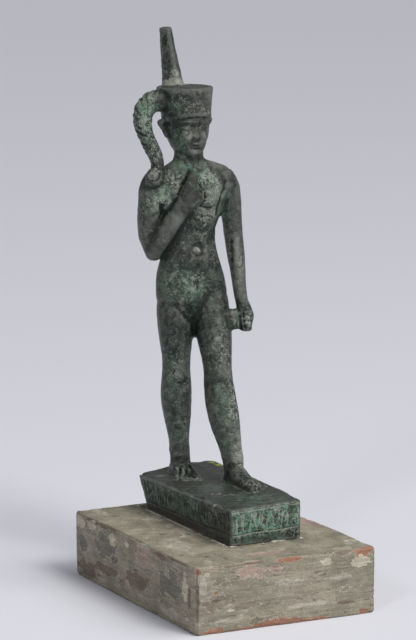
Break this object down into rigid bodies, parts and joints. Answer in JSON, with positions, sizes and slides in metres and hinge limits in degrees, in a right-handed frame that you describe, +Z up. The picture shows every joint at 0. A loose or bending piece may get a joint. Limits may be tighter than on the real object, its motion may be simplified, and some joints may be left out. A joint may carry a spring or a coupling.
{
  "type": "ancient bronze statuette on a wooden plinth",
  "caption": "Standing child-god statuette with a red crown, looping sidelock and raised finger, cast with its incised base and set on a painted wooden block.",
  "frame": {"origin": "middle of the wooden block's underside", "axes": "+Z up, -Y the way the figure looks, +X to the figure's own left"},
  "size_m": [0.0824, 0.1255, 0.2344],
  "materials": {
    "bronze": "blackish green patina with light malachite patches and brown rubbed highlights",
    "painted_wood": "flaking olive-grey paint over reddish wood"
  },
  "bodies": {
    "root": {"bronze_statuette": "bronze", "wooden_plinth": "painted_wood"}
  },
  "joints": []
}
